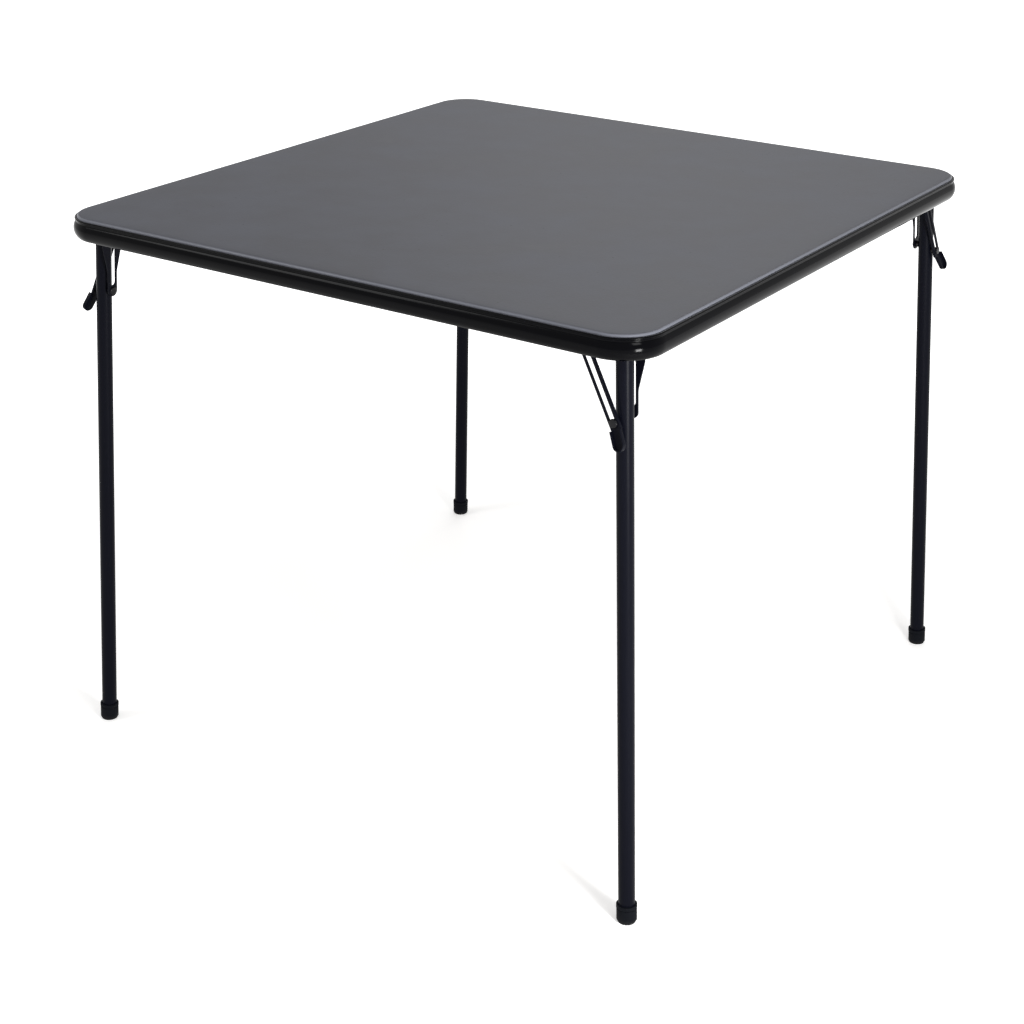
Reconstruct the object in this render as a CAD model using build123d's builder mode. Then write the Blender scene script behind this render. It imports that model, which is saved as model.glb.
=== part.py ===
"""Folding card table: a padded square top in a roll-formed steel rim, on four legs that fold flat.

Millimetres, +Z up, origin on the floor under the middle of the top, -Y the front side.
Each leg folds along its own side of the table, towards the next corner clockwise from above.
A slotted brace, hinged on the rim, holds the leg open through a pin that runs in its slot.
"""
from build123d import *
import os
from math import atan2, cos, degrees, hypot, radians, sin, tan

# Whole table
table_side = 864.0
table_height = 724.0
corner_radius = 54.0

# Rim: a hollow body with a rounded face, a bead along its top edge and a lip that carries the panel
rim_width = 19.0
rim_drop = 29.5
rim_wall = 1.2
rim_face_radius = 16.0
rim_face_drop = 18.0
rim_belly_radius = 6.0
rim_foot_radius = 2.4
bead_width = 3.0
bead_inset = 2.4
bead_drop = 3.4
lip_reach = 10.0
lip_thickness = 1.2

# Panel: hardboard with thin foam and vinyl wrapped round its edge
seat_drop = 8.2
seat_clearance = 0.3
board_thickness = 4.8
wrap_thickness = 1.0
vinyl_edge_radius = 3.0

# Screws that hold the panel from below
screw_radius = 1.9
screw_head_radius = 4.2
screw_head_height = 2.2
screw_grip = 3.0
screw_spacing = 430.0

# Where a leg is hinged, and how far its foot stands out past its hinge
pivot_inset_across = 40.5
pivot_inset_along = 43.0
pivot_drop = 28.0
foot_spread_across = 27.0
foot_spread_along = 37.0

# Leg tube
leg_radius = 10.0
leg_wall = 1.2
leg_top_overhang = 9.0

# Rubber foot cap
cap_radius = 12.2
cap_collar_radius = 12.5
cap_collar_height = 4.2
cap_groove_radius = 11.5
cap_groove_width = 1.0
cap_height = 23.0
cap_floor = 5.0
cap_edge_height = 3.0
cap_edge_inset = 1.5

# Corner bracket: a web under the lip, two ears for the leg and a wall against the rim
bracket_sheet = 1.6
ear_clearance = 0.4
ear_radius = 11.0
web_back = 14.0
web_front = 22.0
web_margin = 0.4
wall_end = 62.0
wall_height = 18.0

# Leg hinge pin
pivot_rivet_radius = 3.0
pivot_head_radius = 5.5
pivot_head_height = 1.8
rivet_taper = 24.0
running_fit = 0.06
shoulder_radius = 4.6
side_play = 0.2

# Plate on the inner side of the leg, wide at the hinge and narrow at its lower rivet
plate_standoff = 4.0
plate_sheet = 2.0
plate_top = 8.0
plate_half_width = 16.0
plate_shoulder_drop = 15.0
plate_waist_drop = 48.0
plate_end_radius = 7.5
plate_corner_radius = 7.0
plate_waist_radius = 22.0
plate_slot_width = 9.4
plate_slot_top_drop = 13.0
plate_slot_margin = 1.5
plate_rivet_drop = 73.0

# Pin on the leg, a little to the folding side of its middle, and where the brace is hinged on the rim
pin_drop = 78.0
pin_offset = 3.5
pin_radius = 3.0
pin_head_radius = 5.6
pin_head_height = 1.8
collar_radius = 4.4
brace_hinge_along = 45.0
brace_hinge_rise = 10.0
brace_hinge_radius = 2.5
brace_hinge_head_radius = 5.0

# Brace: a strap with turned-in edges, a long slot and a cupped finger tab
brace_sheet = 1.6
brace_face_out = 18.0
brace_half_width = 6.7
brace_edge_thickness = 1.2
brace_edge_depth = 2.0
brace_edge_start = 12.0
slot_clearance = 0.1
slot_start = 15.0
brace_flat_past_slot = 5.0
tab_length = 24.0
tab_half_width = 7.2
tab_angle = 14.0
tab_rim_thickness = 1.4
tab_rim_height = 3.4

# Rivets that fasten the bracket to the rim
wall_rivet_radius = 2.2
wall_rivet_head_radius = 4.2
wall_rivet_head_height = 1.3
wall_rivet_tail = 1.4
wall_rivet_near_margin = 6.5
wall_rivet_far_margin = 5.5
wall_rivet_drop = 19.0

overrun = 1.0

half_side = table_side / 2
pivot_height = table_height - pivot_drop
spread_angle_across = degrees(atan2(foot_spread_across, pivot_height))
spread_angle_along = degrees(atan2(foot_spread_along, hypot(foot_spread_across, pivot_height)))
leg_reach = pivot_height / (cos(radians(spread_angle_across)) * cos(radians(spread_angle_along)))
panel_half = half_side - bead_inset - bead_width - seat_clearance
panel_radius = corner_radius - bead_inset - bead_width - seat_clearance
lip_bottom = table_height - seat_drop - lip_thickness
rim_inner_wall = pivot_inset_across - rim_width
plate_face = leg_radius + plate_standoff
plate_outer_face = plate_face + plate_sheet
ear_face = leg_radius + ear_clearance
ear_outer_face = ear_face + bracket_sheet
brace_face_in = brace_face_out - brace_sheet
brace_edge_face = brace_face_in - brace_edge_depth
slot_half_width = pin_radius + slot_clearance
wall_start = corner_radius - pivot_inset_along
wall_rivet_places = [wall_start + wall_rivet_near_margin, wall_end - wall_rivet_far_margin]

# The pin at rest, seen in the plane in which the leg swings, from the leg hinge
pin_reach = hypot(pin_drop, pin_offset)
pin_turn = spread_angle_along - degrees(atan2(pin_offset, pin_drop))
pin_along = -pin_reach * sin(radians(pin_turn))
pin_rise = -pin_reach * cos(radians(pin_turn))
brace_angle = degrees(atan2(pin_along - brace_hinge_along, brace_hinge_rise - pin_rise))
brace_reach = hypot(pin_along - brace_hinge_along, brace_hinge_rise - pin_rise)
slot_end = brace_reach + slot_half_width
brace_flat_end = slot_end + brace_flat_past_slot

corner_names = ["front_right", "front_left", "back_left", "back_right"]
quarter_turn = 90.0


def turned(vector, index):
    """Turn a vector of the front right corner to the corner with this index."""
    return Vector(*vector).rotate(Axis.Z, -quarter_turn * index)


def plan_plane(index):
    """Level plane at a leg hinge: X towards the folded foot, Y towards the outside."""
    hinge = (half_side - pivot_inset_along, -(half_side - pivot_inset_across), pivot_height)
    return Plane(origin=turned(hinge, index), x_dir=turned((-1, 0, 0), index), z_dir=(0, 0, 1))


def swing_plane(index):
    """Plane in which a leg swings: X towards the folded foot, Y up, Z inwards along the hinge."""
    lean = radians(spread_angle_across)
    level = plan_plane(index)
    inwards = turned((0, cos(lean), -sin(lean)), index)
    return Plane(origin=level.origin, x_dir=level.x_dir, z_dir=inwards)


def moved(plane, along, rise, turn=0):
    """Shift a plane within itself, then turn it about its normal."""
    return Plane(plane.location * Location((along, rise, 0), (0, 0, turn)))


def flipped(plane):
    """The same plane seen from behind."""
    return Plane(origin=plane.origin, x_dir=plane.x_dir, z_dir=-plane.z_dir)


def leg_plane(index):
    """Swing plane turned so that its -Y runs down the opened leg."""
    return moved(swing_plane(index), 0, 0, -spread_angle_along)


def brace_plane(index):
    """Swing plane at the hinge of the brace, turned so that its -Y runs down the brace."""
    return moved(swing_plane(index), brace_hinge_along, brace_hinge_rise, brace_angle)


def disc(plane, radius, low, high):
    """Add a round step between two distances from a plane."""
    with Locations(plane.offset(low)):
        Cylinder(radius, high - low, align=(Align.CENTER, Align.CENTER, Align.MIN))


def rivet_head(plane, radius, seat, height):
    """Add a tapered head that stands on a seat, on the side that the plane faces."""
    crown_radius = radius - height * tan(radians(rivet_taper))
    with Locations(plane.offset(seat)):
        Cone(radius, crown_radius, height, align=(Align.CENTER, Align.CENTER, Align.MIN))


def finish(builder, name):
    """Label a finished piece and write its file."""
    builder.part.label = name
    export_step(builder.part, f"parts/{name}.step")


def rim_outline(inset):
    """Section of the rim body drawn in by a wall: X inwards from the outer side, Y up from the top."""
    width = rim_width - 2 * inset
    height = rim_drop - seat_drop - 2 * inset
    with BuildSketch() as outline:
        with Locations((rim_width / 2, -(seat_drop + rim_drop) / 2)):
            Rectangle(width, height)
        with Locations((rim_face_radius, -rim_face_drop)):
            Circle(rim_face_radius - inset, mode=Mode.INTERSECT)
        fillet(outline.vertices().group_by(Axis.Y)[0].sort_by(Axis.X)[0], radius=rim_belly_radius - inset)
        fillet(outline.vertices().group_by(Axis.Y)[0].sort_by(Axis.X)[-1], radius=rim_foot_radius - inset)
    return outline.sketch


def rim_profile():
    """Hollow section of the rim with its bead and its lip."""
    bead_axis_drop = bead_drop + bead_width / 2
    bead_root_drop = seat_drop + 2 * rim_wall
    with BuildSketch() as profile:
        add(rim_outline(0))
        with Locations((bead_inset + bead_width / 2, -bead_axis_drop)):
            Circle(bead_width / 2)
        with Locations((bead_inset + bead_width / 2, -(bead_axis_drop + bead_root_drop) / 2)):
            Rectangle(bead_width, bead_root_drop - bead_axis_drop)
        with Locations((rim_width + lip_reach / 2, -seat_drop - lip_thickness / 2)):
            Rectangle(lip_reach, lip_thickness)
        add(rim_outline(rim_wall), mode=Mode.SUBTRACT)
    return profile.sketch


def screw_places():
    """Places at the eight panel screws, under the lip and facing down."""
    inset = half_side - rim_width - lip_reach / 2
    places = []
    for index in range(len(corner_names)):
        for shift in (-screw_spacing / 2, screw_spacing / 2):
            origin = turned((shift, -inset, lip_bottom), index)
            places.append(Plane(origin=origin, x_dir=(1, 0, 0), z_dir=(0, 0, -1)))
    return places


def wall_rivet_planes(index):
    """Planes on the inner face of the rim at one corner that face inwards at the bracket rivets."""
    level = plan_plane(index)
    rise = pivot_drop - wall_rivet_drop
    planes = []
    for along in wall_rivet_places:
        origin = level.origin + level.x_dir * along + level.y_dir * rim_inner_wall + level.z_dir * rise
        planes.append(Plane(origin=origin, x_dir=level.x_dir, z_dir=-level.y_dir))
    return planes


def make_rim():
    """Rim: one section carried along four straight sides and round four corners."""
    half_run = half_side - corner_radius
    profile = rim_profile()
    with BuildPart() as frame_rim:
        for index in range(len(corner_names)):
            start = turned((-half_run, -half_side, table_height), index)
            side = Plane(origin=start, x_dir=turned((0, 1, 0), index), z_dir=turned((1, 0, 0), index))
            with BuildSketch(side):
                add(profile)
            extrude(amount=2 * half_run)
            with BuildSketch(side):
                add(profile)
            centre = turned((-half_run, -half_run, 0), index)
            revolve(axis=Axis(centre, (0, 0, -1)), revolution_arc=quarter_turn)
        with Locations(*screw_places()):
            Hole(screw_radius, depth=lip_thickness)
        for index in range(len(corner_names)):
            for rivet in wall_rivet_planes(index):
                with Locations(rivet):
                    Hole(wall_rivet_radius, depth=rim_wall)
    finish(frame_rim, "frame_rim")


def make_panel():
    """Hardboard panel and the vinyl cover over its foam, seated on the lip inside the bead."""
    seat = table_height - seat_drop
    board_half = panel_half - wrap_thickness
    board_radius = panel_radius - wrap_thickness
    with BuildPart() as top_board:
        with BuildSketch(Plane.XY.offset(seat)):
            RectangleRounded(2 * board_half, 2 * board_half, board_radius)
        extrude(amount=board_thickness)
        with Locations(*screw_places()):
            Hole(screw_radius, depth=lip_thickness + screw_grip)
    finish(top_board, "top_board")

    with BuildPart() as vinyl_top:
        with BuildSketch(Plane.XY.offset(seat)):
            RectangleRounded(2 * panel_half, 2 * panel_half, panel_radius)
        extrude(amount=seat_drop)
        fillet(vinyl_top.edges().group_by(Axis.Z)[-1], radius=vinyl_edge_radius)
        with BuildSketch(Plane.XY.offset(seat)):
            RectangleRounded(2 * board_half, 2 * board_half, board_radius)
        extrude(amount=board_thickness, mode=Mode.SUBTRACT)
    finish(vinyl_top, "vinyl_top")

    with BuildPart() as panel_screws:
        for place in screw_places():
            disc(place, screw_radius, -lip_thickness - screw_grip, 0)
            rivet_head(place, screw_head_radius, 0, screw_head_height)
    finish(panel_screws, "panel_screws")


def make_bracket(name, index):
    """Corner bracket: a web under the lip, two ears for the leg and a wall against the rim."""
    level = plan_plane(index)
    swing = swing_plane(index)
    hinge = brace_plane(index)
    web_rise = lip_bottom - pivot_height
    ear_top = web_rise - bracket_sheet / 2
    web_inner = ear_outer_face + bracket_sheet
    inside_half = half_side - rim_width - web_margin
    inside_radius = corner_radius - rim_width - web_margin
    with BuildPart() as bracket:
        with BuildSketch(level.offset(web_rise - bracket_sheet)):
            with Locations(((web_front - web_back) / 2, (rim_inner_wall - web_inner) / 2)):
                Rectangle(web_front + web_back, rim_inner_wall + web_inner)
            with Locations((half_side - pivot_inset_along, pivot_inset_across - half_side)):
                RectangleRounded(2 * inside_half, 2 * inside_half, inside_radius, mode=Mode.INTERSECT)
        extrude(amount=bracket_sheet)
        with BuildSketch(level.offset(web_rise - wall_height)):
            with Locations(((wall_start + wall_end) / 2, rim_inner_wall - bracket_sheet / 2)):
                Rectangle(wall_end - wall_start, bracket_sheet)
        extrude(amount=wall_height)
        for side, sense in ((swing, 1), (flipped(swing), -1)):
            with BuildSketch(side.offset(ear_face)):
                Circle(ear_radius)
                with Locations((0, sense * ear_top / 2)):
                    Rectangle(2 * ear_radius, ear_top)
            extrude(amount=bracket_sheet)
        with BuildSketch(swing):
            Circle(pivot_rivet_radius)
        extrude(amount=ear_outer_face + overrun, both=True, mode=Mode.SUBTRACT)
        with BuildSketch(flipped(hinge)):
            Circle(brace_hinge_radius)
        extrude(amount=rim_inner_wall + overrun, mode=Mode.SUBTRACT)
        for rivet in wall_rivet_planes(index):
            with Locations(rivet.offset(bracket_sheet)):
                Hole(wall_rivet_radius, depth=bracket_sheet)
    finish(bracket, f"{name}_corner_bracket")


def make_bracket_rivets(name, index):
    """Two blind rivets that fasten the bracket to the inner wall of the rim."""
    with BuildPart() as bracket_rivets:
        for rivet in wall_rivet_planes(index):
            disc(rivet, wall_rivet_radius, -rim_wall - wall_rivet_tail, bracket_sheet)
            rivet_head(rivet, wall_rivet_head_radius, bracket_sheet, wall_rivet_head_height)
    finish(bracket_rivets, f"{name}_bracket_rivets")


def make_hinge_pins(name, index):
    """Hinge pins of the leg and of the brace, both held by the bracket."""
    swing = swing_plane(index)
    hinge = brace_plane(index)
    with BuildPart() as pivot_rivet:
        disc(swing, pivot_rivet_radius, -ear_outer_face, plate_outer_face + side_play)
        disc(swing, shoulder_radius, ear_outer_face, plate_face - side_play)
        rivet_head(swing, pivot_head_radius, plate_outer_face + side_play, pivot_head_height)
        rivet_head(flipped(swing), pivot_head_radius, ear_outer_face, pivot_head_height)
    finish(pivot_rivet, f"{name}_pivot_rivet")

    with BuildPart() as brace_rivet:
        disc(flipped(hinge), brace_hinge_radius, brace_face_in - side_play, rim_inner_wall)
        disc(flipped(hinge), collar_radius, brace_face_out + side_play, rim_inner_wall - bracket_sheet)
        rivet_head(hinge, brace_hinge_head_radius, side_play - brace_face_in, pivot_head_height)
    finish(brace_rivet, f"{name}_brace_rivet")


def make_leg(name, index):
    """Leg tube and the rubber cap on its end, both along the axis of the opened leg."""
    leg = leg_plane(index)
    down = Plane(origin=leg.origin, x_dir=leg.x_dir, z_dir=-leg.y_dir)
    with BuildPart() as leg_tube:
        with BuildSketch(down.offset(-leg_top_overhang)):
            Circle(leg_radius)
            Circle(leg_radius - leg_wall, mode=Mode.SUBTRACT)
        extrude(amount=leg_top_overhang + leg_reach - cap_floor)
        with BuildSketch(leg):
            Circle(pivot_rivet_radius + running_fit)
        extrude(amount=leg_radius + overrun, both=True, mode=Mode.SUBTRACT)
        with BuildSketch(moved(leg, 0, -plate_rivet_drop)):
            Circle(pin_radius)
        extrude(amount=leg_radius + overrun, mode=Mode.SUBTRACT)
        with BuildSketch(flipped(moved(leg, pin_offset, -pin_drop))):
            Circle(pin_radius)
        extrude(amount=leg_radius + overrun, mode=Mode.SUBTRACT)
    finish(leg_tube, f"{name}_leg_tube")

    cap_start = leg_reach - cap_height
    collar_end = cap_start + cap_collar_height
    edge_start = leg_reach - cap_edge_height
    edge_taper = cap_edge_inset / cap_edge_height
    with BuildPart() as foot_cap:
        disc(down, cap_collar_radius, cap_start, collar_end)
        disc(down, cap_groove_radius, collar_end, collar_end + cap_groove_width)
        disc(down, cap_radius, collar_end + cap_groove_width, edge_start)
        edge_length = cap_edge_height + overrun
        with Locations(down.offset(edge_start)):
            Cone(
                cap_radius,
                cap_radius - edge_length * edge_taper,
                edge_length,
                align=(Align.CENTER, Align.CENTER, Align.MIN),
            )
        split(bisect_by=Plane.XY, keep=Keep.TOP)
        with BuildSketch(down.offset(cap_start)):
            Circle(leg_radius)
        extrude(amount=cap_height - cap_floor, mode=Mode.SUBTRACT)
    finish(foot_cap, f"{name}_foot_cap")


def make_leg_plate(name, index):
    """Plate on the inner side of the leg, turning with it, and the rivet at its lower end."""
    leg = leg_plane(index)
    slot_bottom_drop = plate_rivet_drop - pin_head_radius - plate_slot_margin
    with BuildPart() as leg_plate:
        with BuildSketch(leg.offset(plate_face)) as outline:
            with BuildLine():
                Polyline(
                    (-plate_half_width, plate_top),
                    (plate_half_width, plate_top),
                    (plate_half_width, -plate_shoulder_drop),
                    (plate_end_radius, -plate_waist_drop),
                    (plate_end_radius, -plate_rivet_drop),
                    (-plate_end_radius, -plate_rivet_drop),
                    (-plate_end_radius, -plate_waist_drop),
                    (-plate_half_width, -plate_shoulder_drop),
                    close=True,
                )
            make_face()
            fillet(outline.vertices().group_by(Axis.Y)[-1], radius=plate_corner_radius)
            fillet(outline.vertices().group_by(Axis.Y)[1], radius=plate_waist_radius)
            with Locations((0, -plate_rivet_drop)):
                Circle(plate_end_radius)
                Circle(pin_radius, mode=Mode.SUBTRACT)
            slot_length = slot_bottom_drop - plate_slot_top_drop
            with Locations((0, -(plate_slot_top_drop + slot_bottom_drop) / 2)):
                SlotOverall(slot_length, plate_slot_width, rotation=quarter_turn, mode=Mode.SUBTRACT)
            Circle(pivot_rivet_radius + running_fit, mode=Mode.SUBTRACT)
        extrude(amount=plate_sheet)
    finish(leg_plate, f"{name}_leg_plate")

    with BuildPart() as plate_rivet:
        place = moved(leg, 0, -plate_rivet_drop)
        disc(place, pin_radius, leg_radius - 2 * leg_wall, plate_outer_face)
        disc(place, collar_radius, leg_radius, plate_face)
        rivet_head(place, pin_head_radius, plate_outer_face, pin_head_height)
    finish(plate_rivet, f"{name}_plate_rivet")


def make_brace(name, index):
    """Brace: a strap with an eye, a long slot, turned-in edges and a cupped finger tab."""
    hinge = brace_plane(index)
    outer = flipped(hinge)
    edge_centre = brace_half_width - brace_edge_thickness / 2
    slot_centre = (slot_start + slot_end) / 2
    slot_length = slot_end - slot_start
    tab_axis = outer.x_dir
    fold = moved(hinge, 0, -brace_flat_end).offset(-brace_face_in)
    tab = Plane(
        origin=fold.origin,
        x_dir=tab_axis,
        z_dir=outer.z_dir.rotate(Axis((0, 0, 0), tab_axis), tab_angle),
    )
    with BuildPart() as brace:
        with BuildSketch(hinge.offset(-brace_face_out)):
            Circle(brace_half_width)
            with Locations((0, -brace_flat_end / 2)):
                Rectangle(2 * brace_half_width, brace_flat_end)
            with Locations((0, -slot_centre)):
                SlotOverall(slot_length, 2 * slot_half_width, rotation=quarter_turn, mode=Mode.SUBTRACT)
            Circle(brace_hinge_radius + running_fit, mode=Mode.SUBTRACT)
        extrude(amount=brace_sheet)
        with BuildSketch(hinge.offset(-brace_face_in)):
            with Locations((0, -(brace_edge_start + brace_flat_end) / 2)):
                with GridLocations(2 * edge_centre, 0, 2, 1):
                    Rectangle(brace_edge_thickness, brace_flat_end - brace_edge_start)
        extrude(amount=brace_edge_depth)
        with BuildSketch(tab):
            tab_outline(tab_half_width)
        extrude(amount=brace_sheet)
        with BuildSketch(tab.offset(brace_sheet)):
            tab_outline(tab_half_width)
            tab_outline(tab_half_width - tab_rim_thickness, mode=Mode.SUBTRACT)
        extrude(amount=tab_rim_height)
    finish(brace, f"{name}_brace")


def tab_outline(half_width, mode=Mode.ADD):
    """Finger tab drawn down from its fold, with a round end."""
    straight = tab_length - tab_half_width
    with Locations((0, straight / 2)):
        Rectangle(2 * half_width, straight, mode=mode)
    with Locations((0, straight)):
        Circle(half_width, mode=mode)


def make_brace_pin(name, index):
    """Shouldered pin that runs in the slot of the brace, at its lower end when the leg is open."""
    place = flipped(moved(brace_plane(index), 0, -brace_reach))
    with BuildPart() as brace_pin:
        disc(place, pin_radius, ear_face, brace_face_out + side_play)
        disc(place, collar_radius, ear_face, brace_face_in - side_play)
        rivet_head(place, pin_head_radius, brace_face_out + side_play, pin_head_height)
    finish(brace_pin, f"{name}_brace_pin")


os.makedirs("parts", exist_ok=True)
make_rim()
make_panel()
for corner, corner_name in enumerate(corner_names):
    make_bracket(corner_name, corner)
    make_bracket_rivets(corner_name, corner)
    make_hinge_pins(corner_name, corner)
    make_leg(corner_name, corner)
    make_leg_plate(corner_name, corner)
    make_brace(corner_name, corner)
    make_brace_pin(corner_name, corner)
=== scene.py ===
"""Looks of a folding card table: padded vinyl top, black steel rim and four legs that fold flat.

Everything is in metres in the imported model's frame: +Z up, origin on the floor under the top.
Sizes written in millimetres are named so and turned to metres by one function.
"""
import logging
import math
from dataclasses import dataclass, field
from enum import Enum

import bpy
from mathutils import Matrix, Vector


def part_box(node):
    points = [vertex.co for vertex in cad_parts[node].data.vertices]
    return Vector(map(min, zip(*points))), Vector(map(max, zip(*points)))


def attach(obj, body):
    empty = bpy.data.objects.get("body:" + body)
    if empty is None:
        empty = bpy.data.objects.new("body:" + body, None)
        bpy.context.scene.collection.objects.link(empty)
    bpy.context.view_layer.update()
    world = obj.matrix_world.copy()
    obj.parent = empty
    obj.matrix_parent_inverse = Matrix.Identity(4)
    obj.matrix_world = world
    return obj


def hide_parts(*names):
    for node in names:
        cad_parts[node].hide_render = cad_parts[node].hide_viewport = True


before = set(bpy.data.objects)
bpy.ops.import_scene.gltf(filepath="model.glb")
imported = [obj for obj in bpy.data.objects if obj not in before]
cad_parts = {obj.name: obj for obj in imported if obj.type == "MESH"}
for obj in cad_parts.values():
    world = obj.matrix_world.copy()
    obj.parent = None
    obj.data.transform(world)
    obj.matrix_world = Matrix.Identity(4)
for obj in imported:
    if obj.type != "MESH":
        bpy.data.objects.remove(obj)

LOG = logging.getLogger("card_table")


class Corner(Enum):
    """The four corners, named as seen from the front; each one's leg folds towards the next."""

    FRONT_RIGHT = "front_right"
    FRONT_LEFT = "front_left"
    BACK_LEFT = "back_left"
    BACK_RIGHT = "back_right"

    def turn(self) -> float:
        """Angle about the table's middle that takes the front right corner to this one."""
        return -math.pi / 2.0 * list(Corner).index(self)


class Sheen(Enum):
    """How mirror-like a coating is, as the roughness of its shader."""

    GLOSS = 0.13
    SATIN = 0.33
    DULL = 0.5
    MATT = 0.78


def mm(length: float) -> float:
    """Millimetres to metres."""
    return length / 1000.0


def hex_colour(code: str) -> tuple[float, float, float, float]:
    """Turn an sRGB hex colour into the linear colour that a shader takes.

    Args:
        code: six hex digits, red first.

    Returns:
        Linear red, green, blue and a full alpha.
    """
    parts = [int(code[start:start + 2], 16) / 255.0 for start in (0, 2, 4)]
    linear = [p / 12.92 if p <= 0.04045 else ((p + 0.055) / 1.055) ** 2.4 for p in parts]
    return (*linear, 1.0)


def add_node(
    tree: bpy.types.NodeTree, kind: str, settings: dict | None = None, inputs: dict | None = None
) -> bpy.types.Node:
    """Add a node, set it and link it.

    Args:
        tree: the tree that takes the node.
        kind: Blender's name for the type of node.
        settings: attribute names and their values.
        inputs: input names or numbers, each with a value or with the socket that feeds it.

    Returns:
        The new node.
    """
    node = tree.nodes.new(kind)
    for name, value in (settings or {}).items():
        setattr(node, name, value)
    for name, value in (inputs or {}).items():
        if isinstance(value, bpy.types.NodeSocket):
            tree.links.new(value, node.inputs[name])
        else:
            node.inputs[name].default_value = value
    return node


def per_metre(size_mm: float) -> float:
    """Scale of a texture whose features are this many millimetres apart."""
    return 1000.0 / size_mm


@dataclass(frozen=True)
class Finish:
    """What all finishes share: a name, a colour and a shader with no pattern yet."""

    name: str
    colour: str
    sheen: Sheen
    reflectance: float = 0.5

    def start(self) -> tuple[bpy.types.NodeTree, bpy.types.Node, bpy.types.NodeSocket]:
        """Make the material and its shader.

        Returns:
            The node tree, the shader and the socket that gives places on the object.
        """
        material = bpy.data.materials.new(self.name)
        material.use_nodes = True
        tree = material.node_tree
        tree.nodes.clear()
        shader = add_node(tree, "ShaderNodeBsdfPrincipled", inputs={
            "Base Color": hex_colour(self.colour),
            "Roughness": self.sheen.value,
            "Specular IOR Level": self.reflectance,
        })
        add_node(tree, "ShaderNodeOutputMaterial", inputs={"Surface": shader.outputs["BSDF"]})
        places = add_node(tree, "ShaderNodeTexCoord").outputs["Object"]
        return tree, shader, places

    def vary_colour(self, tree: bpy.types.NodeTree, shader: bpy.types.Node,
                    factor: bpy.types.NodeSocket, low: str, high: str) -> None:
        """Let a pattern move the colour between two shades.

        Args:
            tree: the material's node tree.
            shader: the shader that takes the colour.
            factor: socket of the pattern, from 0 to 1.
            low: sRGB hex colour where the pattern is 0.
            high: sRGB hex colour where the pattern is 1.
        """
        mix = add_node(tree, "ShaderNodeMix", {"data_type": "RGBA"}, {
            0: factor, 6: hex_colour(low), 7: hex_colour(high),
        })
        tree.links.new(mix.outputs[2], shader.inputs["Base Color"])

    def vary_roughness(self, tree: bpy.types.NodeTree, shader: bpy.types.Node,
                       factor: bpy.types.NodeSocket, spread: float) -> None:
        """Let a pattern move the roughness a little to each side.

        Args:
            tree: the material's node tree.
            shader: the shader that takes the roughness.
            factor: socket of the pattern, from 0 to 1.
            spread: how far the roughness moves to each side.
        """
        level = self.sheen.value
        span = add_node(tree, "ShaderNodeMapRange", inputs={
            "Value": factor, "To Min": level - spread, "To Max": level + spread,
        })
        tree.links.new(span.outputs["Result"], shader.inputs["Roughness"])

    def build(self) -> bpy.types.Material:
        """Make the plain finish."""
        tree, _, _ = self.start()
        return self.owner(tree)

    def owner(self, tree: bpy.types.NodeTree) -> bpy.types.Material:
        """Find the material that holds a node tree."""
        return next(m for m in bpy.data.materials if m.node_tree == tree)


@dataclass(frozen=True)
class CoatedSteel(Finish):
    """Steel under stoved enamel or powder coat: a closed film with a faint orange-peel ripple.

    The eye gets soft-edged mirror lines that waver slightly, and no metal colour.
    """

    ripple_mm: float = 7.0
    ripple_depth_mm: float = 0.05
    haze_mm: float = 60.0
    haze_spread: float = 0.05

    def build(self) -> bpy.types.Material:
        """Add the film's ripple and its slightly uneven sheen."""
        tree, shader, places = self.start()
        ripple = add_node(tree, "ShaderNodeTexNoise", inputs={
            "Vector": places, "Scale": per_metre(self.ripple_mm), "Detail": 2.0, "Roughness": 0.4,
        })
        bump = add_node(tree, "ShaderNodeBump", inputs={
            "Height": ripple.outputs["Fac"], "Distance": mm(self.ripple_depth_mm), "Strength": 0.6,
        })
        tree.links.new(bump.outputs["Normal"], shader.inputs["Normal"])
        haze = add_node(tree, "ShaderNodeTexNoise", inputs={
            "Vector": places, "Scale": per_metre(self.haze_mm), "Detail": 4.0,
        })
        self.vary_roughness(tree, shader, haze.outputs["Fac"], self.haze_spread)
        return self.owner(tree)


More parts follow.
